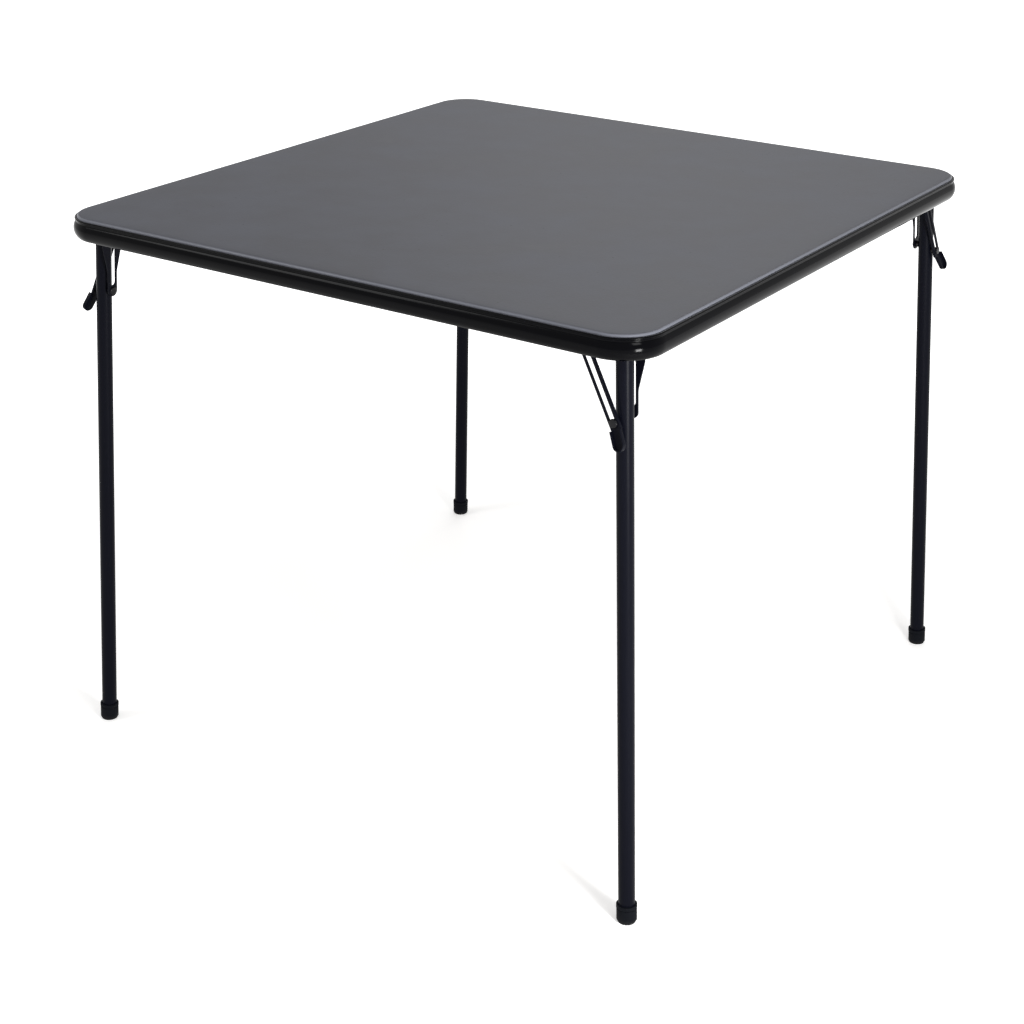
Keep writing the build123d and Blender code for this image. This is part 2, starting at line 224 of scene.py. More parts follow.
@dataclass(frozen=True)
class GrainedVinyl(Finish):
    """Calendered PVC sheet, embossed with a fine leather grain, stretched over thin foam.

    The eye gets a broad dull sheen at a low angle, faint clouds, a scatter of tiny specks and a
    painted highlight along the rolled edge.
    """

    light: str = "40424B"
    dark: str = "34353D"
    fleck: str = "1D1E22"
    # Paler colour of the rolled edge: a painted highlight, not a colour of the vinyl.
    painted_edge_highlight: str = "6C6E77"
    pulled_roughness: float = 0.24
    stretch_and_highlight_facing: tuple = (0.86, 0.985)
    haze_spread: float = 0.06
    grain_mm: float = 2.6
    grain_depth_mm: float = 0.12
    thread_share: float = 2.4
    cloud_mm: float = 95.0
    cloud_span: tuple = (0.38, 0.66)
    fleck_mm: float = 26.0
    pit_span: tuple = (0.02, 0.05)
    pit_height: float = -1.6
    dot_span: tuple = (0.03, 0.06)
    dot_strength: float = 0.75

    def build(self) -> bpy.types.Material:
        """Add clouds, specks and the embossed grain."""
        tree, shader, places = self.start()
        cloud = add_node(tree, "ShaderNodeTexNoise", inputs={
            "Vector": places, "Scale": per_metre(self.cloud_mm), "Detail": 5.0, "Roughness": 0.6,
        })
        smoke = add_node(tree, "ShaderNodeValToRGB", inputs={"Fac": cloud.outputs["Fac"]})
        for element, position in zip(smoke.color_ramp.elements, self.cloud_span):
            element.position = position
        # Where it turns over the edge the grain is stretched smooth, and the paler colour there is
        # a painted highlight along the rolled edge.
        facing = add_node(tree, "ShaderNodeSeparateXYZ", inputs={
            "Vector": add_node(tree, "ShaderNodeTexCoord").outputs["Normal"],
        })
        stretch_and_highlight = add_node(tree, "ShaderNodeMapRange", inputs={
            "Value": facing.outputs["Z"], "From Min": self.stretch_and_highlight_facing[0],
            "From Max": self.stretch_and_highlight_facing[1], "To Min": 1.0, "To Max": 0.0,
        })
        level = self.sheen.value
        hazy = add_node(tree, "ShaderNodeMapRange", inputs={
            "Value": cloud.outputs["Fac"], "To Min": level - self.haze_spread,
            "To Max": level + self.haze_spread,
        })
        rough = add_node(tree, "ShaderNodeMix", {"data_type": "FLOAT"}, {
            0: stretch_and_highlight.outputs["Result"], 2: hazy.outputs["Result"], 3: self.pulled_roughness,
        })
        tree.links.new(rough.outputs[0], shader.inputs["Roughness"])
        # The real grain is about 0.8 mm; it is drawn at 2.6 mm, the least that shows from
        # 2.5 m away.
        cells = add_node(tree, "ShaderNodeTexVoronoi", {"feature": "SMOOTH_F1"}, {
            "Vector": places, "Scale": per_metre(self.grain_mm), "Smoothness": 0.6,
        })
        threads = add_node(tree, "ShaderNodeTexNoise", inputs={
            "Vector": places, "Scale": per_metre(self.grain_mm * self.thread_share),
            "Detail": 6.0, "Roughness": 0.7,
        })
        height = add_node(tree, "ShaderNodeMath", {"operation": "ADD"}, {
            0: cells.outputs["Distance"], 1: threads.outputs["Fac"],
        })
        flecks = add_node(tree, "ShaderNodeTexVoronoi", inputs={
            "Vector": places, "Scale": per_metre(self.fleck_mm),
        })
        speck = add_node(tree, "ShaderNodeMapRange", inputs={
            "Value": flecks.outputs["Distance"], "From Min": self.pit_span[0],
            "From Max": self.pit_span[1], "To Min": self.pit_height, "To Max": 0.0,
        })
        pitted = add_node(tree, "ShaderNodeMath", {"operation": "ADD"}, {
            0: height.outputs[0], 1: speck.outputs["Result"],
        })
        clouds = add_node(tree, "ShaderNodeMix", {"data_type": "RGBA"}, {
            0: smoke.outputs["Color"], 6: hex_colour(self.dark), 7: hex_colour(self.light),
        })
        dot = add_node(tree, "ShaderNodeMapRange", inputs={
            "Value": flecks.outputs["Distance"], "From Min": self.dot_span[0],
            "From Max": self.dot_span[1], "To Min": self.dot_strength, "To Max": 0.0,
        })
        specked = add_node(tree, "ShaderNodeMix", {"data_type": "RGBA"}, {
            0: dot.outputs["Result"], 6: clouds.outputs[2], 7: hex_colour(self.fleck),
        })
        # The rolled edge takes the paler colour: a painted highlight along the edge.
        edged = add_node(tree, "ShaderNodeMix", {"data_type": "RGBA"}, {
            0: stretch_and_highlight.outputs["Result"], 6: specked.outputs[2], 7: hex_colour(self.painted_edge_highlight),
        })
        tree.links.new(edged.outputs[2], shader.inputs["Base Color"])
        bump = add_node(tree, "ShaderNodeBump", inputs={
            "Height": pitted.outputs[0], "Distance": mm(self.grain_depth_mm), "Strength": 0.55,
        })
        tree.links.new(bump.outputs["Normal"], shader.inputs["Normal"])
        return self.owner(tree)


@dataclass(frozen=True)
class MouldedRubber(Finish):
    """Compression-moulded black rubber.

    The eye gets a dry, even black that turns grey with floor dust near the ground.
    """

    dust: str = "2B2A29"
    dust_top_mm: float = 7.0
    grit_mm: float = 1.6
    grit_depth_mm: float = 0.12

    def build(self) -> bpy.types.Material:
        """Add a fine moulded texture and the dust low down."""
        tree, shader, places = self.start()
        grit = add_node(tree, "ShaderNodeTexNoise", inputs={
            "Vector": places, "Scale": per_metre(self.grit_mm), "Detail": 4.0, "Roughness": 0.65,
        })
        bump = add_node(tree, "ShaderNodeBump", inputs={
            "Height": grit.outputs["Fac"], "Distance": mm(self.grit_depth_mm), "Strength": 0.5,
        })
        tree.links.new(bump.outputs["Normal"], shader.inputs["Normal"])
        parts = add_node(tree, "ShaderNodeSeparateXYZ", inputs={"Vector": places})
        low = add_node(tree, "ShaderNodeMapRange", inputs={
            "Value": parts.outputs["Z"], "From Min": 0.0, "From Max": mm(self.dust_top_mm),
            "To Min": 1.0, "To Max": 0.0,
        })
        patchy = add_node(tree, "ShaderNodeMath", {"operation": "MULTIPLY"}, {
            0: low.outputs["Result"], 1: grit.outputs["Fac"],
        })
        self.vary_colour(tree, shader, patchy.outputs[0], self.colour, self.dust)
        return self.owner(tree)


@dataclass(frozen=True)
class Hardboard(Finish):
    """Wet-formed hardboard with the print of the wire screen it was pressed on.

    The eye gets mid-brown wood fibre, blotched, with a faint square net on it.
    """

    pale: str = "7A5A3C"
    dark: str = "4B3422"
    blotch_mm: float = 14.0
    net_mm: float = 18.85
    net_depth_mm: float = 0.25
    wave_turn: float = 20.0

    def build(self) -> bpy.types.Material:
        """Add blotches, fibres and the print of the screen."""
        tree, shader, places = self.start()
        blotch = add_node(tree, "ShaderNodeTexNoise", inputs={
            "Vector": places, "Scale": per_metre(self.blotch_mm), "Detail": 8.0,
            "Roughness": 0.75,
        })
        self.vary_colour(tree, shader, blotch.outputs["Fac"], self.dark, self.pale)
        # The real screen has about one wire a millimetre; it is drawn at 19 mm so that it shows.
        # A wave texture runs through wave_turn radians in each unit of its scale.
        scale = per_metre(self.net_mm) * math.tau / self.wave_turn
        bands = [
            add_node(tree, "ShaderNodeTexWave", {"bands_direction": direction}, {
                "Vector": places, "Scale": scale, "Distortion": 0.3,
            }).outputs["Fac"]
            for direction in ("X", "Y")
        ]
        net = add_node(tree, "ShaderNodeMath", {"operation": "MINIMUM"}, {
            0: bands[0], 1: bands[1],
        })
        bump = add_node(tree, "ShaderNodeBump", inputs={
            "Height": net.outputs[0], "Distance": mm(self.net_depth_mm), "Strength": 0.6,
        })
        tree.links.new(bump.outputs["Normal"], shader.inputs["Normal"])
        return self.owner(tree)


@dataclass(frozen=True)
class PlatedSteel(Finish):
    """Zinc-plated steel screws and rivets.

    The eye gets a cool grey metal with fine scatter, not a mirror.
    """

    spangle_mm: float = 0.9
    spangle_spread: float = 0.08

    def build(self) -> bpy.types.Material:
        """Add the metal and the fine unevenness of the plating."""
        tree, shader, places = self.start()
        shader.inputs["Metallic"].default_value = 1.0
        spangle = add_node(tree, "ShaderNodeTexNoise", inputs={
            "Vector": places, "Scale": per_metre(self.spangle_mm), "Detail": 3.0,
        })
        self.vary_roughness(tree, shader, spangle.outputs["Fac"], self.spangle_spread)
        return self.owner(tree)


def select_only(piece: bpy.types.Object) -> None:
    """Deselect everything, then select one object and make it the active one."""
    bpy.ops.object.select_all(action="DESELECT")
    piece.select_set(True)
    bpy.context.view_layer.objects.active = piece


def apply_modifiers(piece: bpy.types.Object) -> None:
    """Apply every modifier of a piece in order."""
    select_only(piece)
    for name in [modifier.name for modifier in piece.modifiers]:
        bpy.ops.object.modifier_apply(modifier=name)


def dress(piece: bpy.types.Object, material: bpy.types.Material) -> None:
    """Give a piece one material in place of any it has."""
    piece.data.materials.clear()
    piece.data.materials.append(material)


def tidy_shell(
    piece: bpy.types.Object, smooth_below: float = 35.0, merge_mm: float = 0.005
) -> None:
    """Merge a shell's doubles, face it outwards and shade its soft edges smooth.

    Args:
        piece: the shell.
        smooth_below: edges under this many degrees are shaded smooth.
        merge_mm: points nearer than this become one.
    """
    select_only(piece)
    bpy.ops.object.mode_set(mode="EDIT")
    bpy.ops.mesh.select_all(action="SELECT")
    bpy.ops.mesh.remove_doubles(threshold=mm(merge_mm))
    bpy.ops.mesh.normals_make_consistent(inside=False)
    bpy.ops.object.mode_set(mode="OBJECT")
    bpy.ops.object.shade_smooth_by_angle(angle=math.radians(smooth_below))


def turned_piece(name: str, rings: list[tuple[float, float]], sides: int) -> bpy.types.Object:
    """Draw a round piece up from a disc, ring by ring.

    Args:
        name: the piece's name.
        rings: radius and height of each ring in millimetres.
        sides: faces round the axis.

    Returns:
        A closed piece about the upright axis.
    """
    radius, height = rings[0]
    bpy.ops.object.select_all(action="DESELECT")
    bpy.ops.mesh.primitive_circle_add(
        vertices=sides, radius=mm(radius), fill_type="NGON", location=(0.0, 0.0, mm(height))
    )
    piece = bpy.context.object
    piece.name = name
    bpy.ops.object.transform_apply(location=True, rotation=True, scale=True)
    bpy.ops.object.mode_set(mode="EDIT")
    bpy.ops.mesh.select_all(action="SELECT")
    for next_radius, next_height in rings[1:]:
        share = next_radius / radius
        bpy.ops.mesh.extrude_region_move(
            TRANSFORM_OT_translate={"value": (0.0, 0.0, mm(next_height - height))}
        )
        bpy.ops.transform.resize(value=(share, share, 1.0), center_override=(0.0, 0.0, 0.0))
        radius, height = next_radius, next_height
    bpy.ops.object.mode_set(mode="OBJECT")
    tidy_shell(piece)
    return piece


def at_corner(piece: bpy.types.Object, corner: Corner) -> bpy.types.Object:
    """Copy a piece of the front right corner to another corner, with its own mesh.

    Args:
        piece: the finished piece at the front right corner.
        corner: where the copy goes.

    Returns:
        The copy.
    """
    select_only(piece)
    bpy.ops.object.duplicate(linked=False)
    twin = bpy.context.object
    twin.rotation_euler = (0.0, 0.0, corner.turn())
    bpy.ops.object.transform_apply(location=True, rotation=True, scale=True)
    return twin


@dataclass
class Rim:
    """The roll-formed rim: a rounded body, a bead on a narrow neck and the lip under the panel."""

    finish: bpy.types.Material
    side_mm: float = 864.0
    top_mm: float = 724.0
    corner_radius_mm: float = 54.0
    width_mm: float = 19.0
    drop_mm: float = 29.5
    seat_drop_mm: float = 8.2
    face_radius_mm: float = 16.0
    face_drop_mm: float = 18.0
    bead_radius_mm: float = 1.5
    bead_inward_mm: float = 3.9
    bead_axis_drop_mm: float = 4.9
    neck_width_mm: float = 1.5
    neck_inward_mm: float = 4.2
    lip_reach_mm: float = 10.0
    lip_thickness_mm: float = 1.2
    lip_overlap_mm: float = 2.0
    belly_round_mm: float = 3.0
    foot_round_mm: float = 2.4
    shoulder_round_mm: float = 0.8
    corner_steps: int = 28
    face_points: int = 72
    bead_points: int = 20
    round_steps: int = 6
    smooth_below: float = 30.0

    def place(self, inward: float, drop: float) -> Vector:
        """Point of the rim's section, at the left end of the front side."""
        half = self.side_mm / 2.0
        return Vector((
            mm(self.corner_radius_mm - half), mm(inward - half), mm(self.top_mm - drop),
        ))

    def disc(self, inward: float, drop: float, radius: float, sides: int) -> bpy.types.Object:
        """Add a round section.

        Args:
            inward: its middle from the outer side, in millimetres.
            drop: its middle below the top, in millimetres.
            radius: its radius in millimetres.
            sides: its number of points.

        Returns:
            The section as one face.
        """
        bpy.ops.object.select_all(action="DESELECT")
        bpy.ops.mesh.primitive_circle_add(
            vertices=sides, radius=mm(radius), fill_type="NGON",
            location=self.place(inward, drop), rotation=(0.0, math.pi / 2.0, 0.0),
        )
        bpy.ops.object.transform_apply(location=True, rotation=True, scale=True)
        return bpy.context.object

    def cut(self, inward: float, drop: float, away: tuple[float, float, float]) -> None:
        """Cut off what lies beyond a line of the section.

        Args:
            inward: a point of the line, from the outer side, in millimetres.
            drop: the same point, below the top, in millimetres.
            away: direction of what is cut off.
        """
        bpy.ops.mesh.select_all(action="SELECT")
        bpy.ops.mesh.bisect(plane_co=self.place(inward, drop), plane_no=away, clear_outer=True)

    def round_off(self, piece: bpy.types.Object, inward: tuple[float, float],
                  drop: float, radius: float) -> None:
        """Round the points of a section that lie within a span at one height.

        Args:
            piece: the section.
            inward: the span, from the outer side, in millimetres.
            drop: the height, below the top, in millimetres.
            radius: how much is rounded off, in millimetres.
        """
        bpy.ops.mesh.select_all(action="DESELECT")
        bpy.ops.object.mode_set(mode="OBJECT")
        low, high = self.place(inward[0], drop), self.place(inward[1], drop)
        slack = mm(0.01)
        for point in piece.data.vertices:
            level = abs(point.co.z - low.z) < slack
            point.select = level and low.y - slack <= point.co.y <= high.y + slack
        bpy.ops.object.mode_set(mode="EDIT")
        bpy.ops.mesh.bevel(offset=mm(radius), segments=self.round_steps, affect="VERTICES")

    def run_round(self) -> None:
        """Draw the section in edit mode along the four sides and round the four corners."""
        straight = mm(self.side_mm - 2.0 * self.corner_radius_mm)
        bpy.ops.mesh.select_all(action="SELECT")
        bpy.ops.mesh.delete(type="ONLY_FACE")
        bpy.ops.mesh.select_all(action="SELECT")
        for side in range(4):
            turn = Matrix.Rotation(side * math.pi / 2.0, 3, "Z")
            bpy.ops.mesh.extrude_region_move(
                TRANSFORM_OT_translate={"value": turn @ Vector((straight, 0.0, 0.0))}
            )
            # With no window open, spin turns the other way, so its angle is negative.
            bpy.ops.mesh.spin(
                steps=self.corner_steps, angle=-math.pi / 2.0, axis=(0.0, 0.0, 1.0),
                center=turn @ Vector((straight / 2.0, -straight / 2.0, 0.0)),
            )
        bpy.ops.object.mode_set(mode="OBJECT")

    def body(self) -> bpy.types.Object:
        """Model the rounded body."""
        piece = self.disc(
            self.face_radius_mm, self.face_drop_mm, self.face_radius_mm, self.face_points
        )
        bpy.ops.object.mode_set(mode="EDIT")
        self.cut(0.0, self.seat_drop_mm, (0.0, 0.0, 1.0))
        self.cut(0.0, self.drop_mm, (0.0, 0.0, -1.0))
        self.cut(self.width_mm, 0.0, (0.0, 1.0, 0.0))
        middle = self.width_mm / 2.0
        self.round_off(piece, (0.0, middle), self.drop_mm, self.belly_round_mm)
        self.round_off(piece, (middle, self.width_mm), self.drop_mm, self.foot_round_mm)
        self.round_off(piece, (0.0, middle), self.seat_drop_mm, self.shoulder_round_mm)
        self.run_round()
        return piece

    def bead(self) -> bpy.types.Object:
        """Model the bead along the rim's top edge."""
        piece = self.disc(
            self.bead_inward_mm, self.bead_axis_drop_mm, self.bead_radius_mm, self.bead_points
        )
        bpy.ops.object.mode_set(mode="EDIT")
        self.run_round()
        return piece

    def strip(self, inward: float, drop: float, width: float, height: float) -> bpy.types.Object:
        """Model a flat strip, such as the neck under the bead or the lip.

        Args:
            inward: middle of its section from the outer side, in millimetres.
            drop: middle of its section below the top, in millimetres.
            width: level size of its section in millimetres.
            height: upright size of its section in millimetres.

        Returns:
            The strip round the whole rim.
        """
        bpy.ops.object.select_all(action="DESELECT")
        bpy.ops.mesh.primitive_plane_add(
            size=1.0, location=self.place(inward, drop), rotation=(0.0, math.pi / 2.0, 0.0)
        )
        piece = bpy.context.object
        piece.scale = (mm(height), mm(width), 1.0)
        bpy.ops.object.transform_apply(location=True, rotation=True, scale=True)
        bpy.ops.object.mode_set(mode="EDIT")
        self.run_round()
        return piece

    def build(self) -> bpy.types.Object:
        """Model the rim's parts and join them.

        Returns:
            The finished rim.
        """
        neck_bottom = self.seat_drop_mm + self.lip_thickness_mm
        neck_drop = (self.bead_axis_drop_mm + neck_bottom) / 2.0
        neck_height = neck_bottom - self.bead_axis_drop_mm
        # The lip runs into the body, so that no gap shows between them.
        lip_inward = self.width_mm + (self.lip_reach_mm - self.lip_overlap_mm) / 2.0
        lip_drop = self.seat_drop_mm + self.lip_thickness_mm / 2.0
        lip_width = self.lip_reach_mm + self.lip_overlap_mm
        parts = [
            self.body(),
            self.bead(),
            self.strip(self.neck_inward_mm, neck_drop, self.neck_width_mm, neck_height),
            self.strip(lip_inward, lip_drop, lip_width, self.lip_thickness_mm),
        ]
        for part in parts:
            tidy_shell(part, self.smooth_below)
        for part in parts:
            part.select_set(True)
        bpy.context.view_layer.objects.active = parts[0]
        bpy.ops.object.join()
        piece = bpy.context.object
        piece.name = "rolled_rim"
        dress(piece, self.finish)
        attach(piece, "root")
        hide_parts("frame_rim")
        return piece


@dataclass
class LegTubes:
    """The four splayed tubes, open at the top end that the bracket holds."""

    finish: bpy.types.Material
    radius_mm: float = 10.0
    wall_mm: float = 1.2
    bore_depth_mm: float = 60.0
    overhang_mm: float = 9.0
    edge_mm: float = 0.3
    # From the hinge to the floor along the splayed leg.
    reach_mm: float = 697.506
    cap_floor_mm: float = 5.0
    sides: int = 56
    hinge_mm: tuple = (389.0, -391.5, 696.0)
    spread_across_mm: float = 27.0
    spread_along_mm: float = 37.0

    def down_frame(self) -> Matrix:
        """Place of the front right leg, with +Z down the leg and its origin at the hinge."""
        height = self.hinge_mm[2]
        lean = math.atan2(self.spread_across_mm, height)
        splay = math.atan2(self.spread_along_mm, math.hypot(self.spread_across_mm, height))
        up = Vector((0.0, math.sin(lean), math.cos(lean)))
        folded_way = Vector((-1.0, 0.0, 0.0))
        down = -(folded_way * math.sin(splay) + up * math.cos(splay))
        across = folded_way * math.cos(splay) - up * math.sin(splay)
        inwards = down.cross(across)
        turn = Matrix((across, inwards, down)).transposed().to_4x4()
        return Matrix.Translation(Vector([mm(v) for v in self.hinge_mm])) @ turn

    def build(self) -> list[bpy.types.Object]:
        """Model one tube and copy it to the four corners.

        Returns:
            The four tubes.
        """
        bore = self.radius_mm - self.wall_mm
        end = self.reach_mm - self.cap_floor_mm
        tube = turned_piece("leg_tube_model", [
            (bore, self.bore_depth_mm), (bore, self.edge_mm - self.overhang_mm),
            (bore + self.edge_mm, -self.overhang_mm),
            (self.radius_mm - self.edge_mm, -self.overhang_mm),
            (self.radius_mm, self.edge_mm - self.overhang_mm), (self.radius_mm, end),
        ], self.sides)
        tube.matrix_world = self.down_frame()
        bpy.ops.object.transform_apply(location=True, rotation=True, scale=True)
        made = []
        for corner in Corner:
            twin = at_corner(tube, corner)
            twin.name = f"{corner.value}_drawn_tube"
            dress(twin, self.finish)
            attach(twin, f"{corner.value}_leg")
            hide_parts(f"{corner.value}_leg_tube")
            made.append(twin)
        bpy.data.objects.remove(tube)
        return made


@dataclass(frozen=True)
class SoftEdge:
    """How the edges of one kind of fitting are broken, and what it looks like."""

    ending: str
    new_ending: str
    body_ending: str
    edge_mm: float
    finish: str
    slot: str


@dataclass
class Fittings:
    """Pressed, headed and moulded fittings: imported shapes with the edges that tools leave."""

    made: dict[str, bpy.types.Material]
    kinds: tuple = (
        SoftEdge("brace", "pressed_brace", "brace_arm", 0.35, "tube", "black_enamel"),
        SoftEdge("leg_plate", "pressed_plate", "leg", 0.35, "tube", "black_enamel"),
        SoftEdge("corner_bracket", "pressed_bracket", "", 0.35, "tube", "black_enamel"),
        SoftEdge("plate_rivet", "headed_rivet", "leg", 0.6, "rivet", "black_rivets"),
        SoftEdge("brace_pin", "headed_pin", "slide", 0.6, "rivet", "black_rivets"),
        SoftEdge("foot_cap", "moulded_cap", "leg", 0.6, "rubber", "black_rubber"),
    )
    sharp_above: float = 40.0
    flat_below: float = 0.5
    edge_steps: int = 3

    def soften(self, corner: Corner, kind: SoftEdge) -> bpy.types.Object:
        """Copy a packed fitting and break its edges.

        Args:
            corner: where it sits.
            kind: what it is.

        Returns:
            The finished fitting.
        """
        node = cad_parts[f"{corner.value}_{kind.ending}"]
        piece = bpy.data.objects.new(f"{corner.value}_{kind.new_ending}", node.data.copy())
        bpy.context.scene.collection.objects.link(piece)
        tidy_shell(piece)
        bpy.ops.object.mode_set(mode="EDIT")
        bpy.ops.mesh.select_all(action="SELECT")
        bpy.ops.mesh.dissolve_limited(angle_limit=math.radians(self.flat_below))
        bpy.ops.object.mode_set(mode="OBJECT")
        edge = piece.modifiers.new("edge", "BEVEL")
        edge.width = mm(kind.edge_mm)
        edge.segments = self.edge_steps
        edge.limit_method = "ANGLE"
        edge.angle_limit = math.radians(self.sharp_above)
        apply_modifiers(piece)
        bpy.ops.object.shade_smooth_by_angle(angle=math.radians(self.sharp_above))
        dress(piece, self.made[kind.finish])
        body = f"{corner.value}_{kind.body_ending}" if kind.body_ending else "root"
        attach(piece, body)
        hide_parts(node.name)
        return piece

    def build(self) -> list[bpy.types.Object]:
        """Finish every kind of fitting at every corner."""
        return [self.soften(corner, kind) for corner in Corner for kind in self.kinds]


@dataclass
class PaddedTop:
    """The vinyl top: a tight skin over thin foam, rolled over the edge of the panel."""

    finish: bpy.types.Material
    edge_radius_mm: float = 3.4
    corner_radius_mm: float = 47.3
    corner_steps: int = 14
    edge_steps: int = 6
    grid_cuts: int = 15
    finer_levels: int = 2
    wrinkle_mm: float = 0.35
    wrinkle_spacing_mm: float = 70.0
    # Share of the waves' height that counts as the skin's own level, so most of them dip.
    wrinkle_level: float = 0.75
    cover_margin_mm: float = 0.1
    # A face whose normal is lower than this belongs to the underside.
    underside_normal: float = -0.9
    smooth_below: float = 40.0
    # Width and rise of each ring, from the rolled edge inwards.
    swell_steps_mm: tuple = ((2.0, 0.16), (4.0, 0.16), (8.0, 0.12), (14.0, 0.06))

    def build(self) -> bpy.types.Object:
        """Model the skin, swell it and set it in place.

        Returns:
            The finished piece.
        """
        low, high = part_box("vinyl_top")
        swell = mm(sum(depth for _, depth in self.swell_steps_mm))
        side = high.x - low.x
        radius = mm(self.edge_radius_mm)
        bpy.ops.object.select_all(action="DESELECT")
        bpy.ops.mesh.primitive_plane_add(size=side, location=(0.0, 0.0, low.z))
        piece = bpy.context.object
        piece.name = "padded_top"
        bpy.ops.object.transform_apply(location=True, rotation=True, scale=True)
        bpy.ops.object.mode_set(mode="EDIT")
        bpy.ops.mesh.select_all(action="SELECT")
        bpy.ops.mesh.bevel(
            offset=mm(self.corner_radius_mm), segments=self.corner_steps, affect="VERTICES"
        )
        bpy.ops.mesh.select_all(action="SELECT")
        rise = high.z - low.z - radius - swell
        bpy.ops.mesh.extrude_region_move(TRANSFORM_OT_translate={"value": (0.0, 0.0, rise)})
        turn = math.pi / 2.0 / self.edge_steps
        for step in range(self.edge_steps):
            inward = radius * (math.cos(step * turn) - math.cos((step + 1) * turn))
            upward = radius * (math.sin((step + 1) * turn) - math.sin(step * turn))
            bpy.ops.mesh.inset(thickness=inward, depth=upward, use_boundary=True)
        for thickness, depth in self.swell_steps_mm:
            bpy.ops.mesh.inset(thickness=mm(thickness), depth=mm(depth), use_boundary=True)
        bpy.ops.mesh.select_all(action="SELECT")
        bpy.ops.mesh.normals_make_consistent(inside=False)
        self.recess(piece)
        half_span = side / 2.0
        for cut in range(1, self.grid_cuts + 1):
            place = -half_span + side * cut / (self.grid_cuts + 1)
            for normal in ((1.0, 0.0, 0.0), (0.0, 1.0, 0.0)):
                bpy.ops.mesh.select_all(action="SELECT")
                bpy.ops.mesh.bisect(plane_co=[place * n for n in normal], plane_no=normal)
        bpy.ops.object.mode_set(mode="OBJECT")
        self.soften(piece)
        dress(piece, self.finish)
        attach(piece, "root")
        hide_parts("vinyl_top")
        return piece

    def recess(self, piece: bpy.types.Object) -> None:
        """Hollow the underside to take the panel, so that only the wrapped edge goes round it.

        Args:
            piece: the modelled skin, in edit mode, with a plain underside.
        """
        low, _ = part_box("vinyl_top")
        panel_low, panel_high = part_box("top_board")
        bpy.ops.mesh.select_mode(type="FACE")
        bpy.ops.mesh.select_all(action="DESELECT")
        bpy.ops.object.mode_set(mode="OBJECT")
        for face in piece.data.polygons:
            face.select = face.normal.z < self.underside_normal
        bpy.ops.object.mode_set(mode="EDIT")
        bpy.ops.mesh.inset(
            thickness=panel_low.x - low.x, depth=low.z - panel_high.z, use_boundary=True
        )
        bpy.ops.mesh.select_mode(type="VERT")

    def soften(self, piece: bpy.types.Object) -> None:
        """Refine the skin and let the foam show through as slow, shallow waves.

        Args:
            piece: the modelled skin.
        """
        panel_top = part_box("top_board")[1].z
        cover = piece.vertex_groups.new(name="cover")
        lowest = panel_top + mm(self.cover_margin_mm)
        above = [point.index for point in piece.data.vertices if point.co.z > lowest]
        cover.add(above, 1.0, "REPLACE")
        finer = piece.modifiers.new("finer", "SUBSURF")
        finer.subdivision_type = "SIMPLE"
        finer.levels = finer.render_levels = self.finer_levels
        waves = bpy.data.textures.new("foam_waves", "CLOUDS")
        waves.noise_scale = mm(self.wrinkle_spacing_mm)
        waves.noise_depth = 1
        push = piece.modifiers.new("push", "DISPLACE")
        push.texture = waves
        push.texture_coords = "LOCAL"
        push.strength = mm(self.wrinkle_mm)
        push.mid_level = self.wrinkle_level
        push.vertex_group = cover.name
        apply_modifiers(piece)
        bpy.ops.object.shade_smooth_by_angle(angle=math.radians(self.smooth_below))


@dataclass(frozen=True)
class Lamp:
    """A soft lamp with a lit panel, which the camera doesn't see; metres and watts."""

    name: str
    place: tuple
    aim: tuple
    size: tuple
    power: float

    def build(self) -> None:
        """Add the lamp and turn it to the point that it faces."""
        bpy.ops.object.select_all(action="DESELECT")
        bpy.ops.object.light_add(type="AREA", location=self.place)
        lamp = bpy.context.object
        lamp.name = self.name
        lamp.data.shape = "RECTANGLE"
        lamp.data.size, lamp.data.size_y = self.size
        lamp.data.energy = self.power
        lamp.visible_camera = False
        toward = Vector(self.aim) - Vector(self.place)
        lamp.rotation_euler = toward.to_track_quat("-Z", "Y").to_euler()


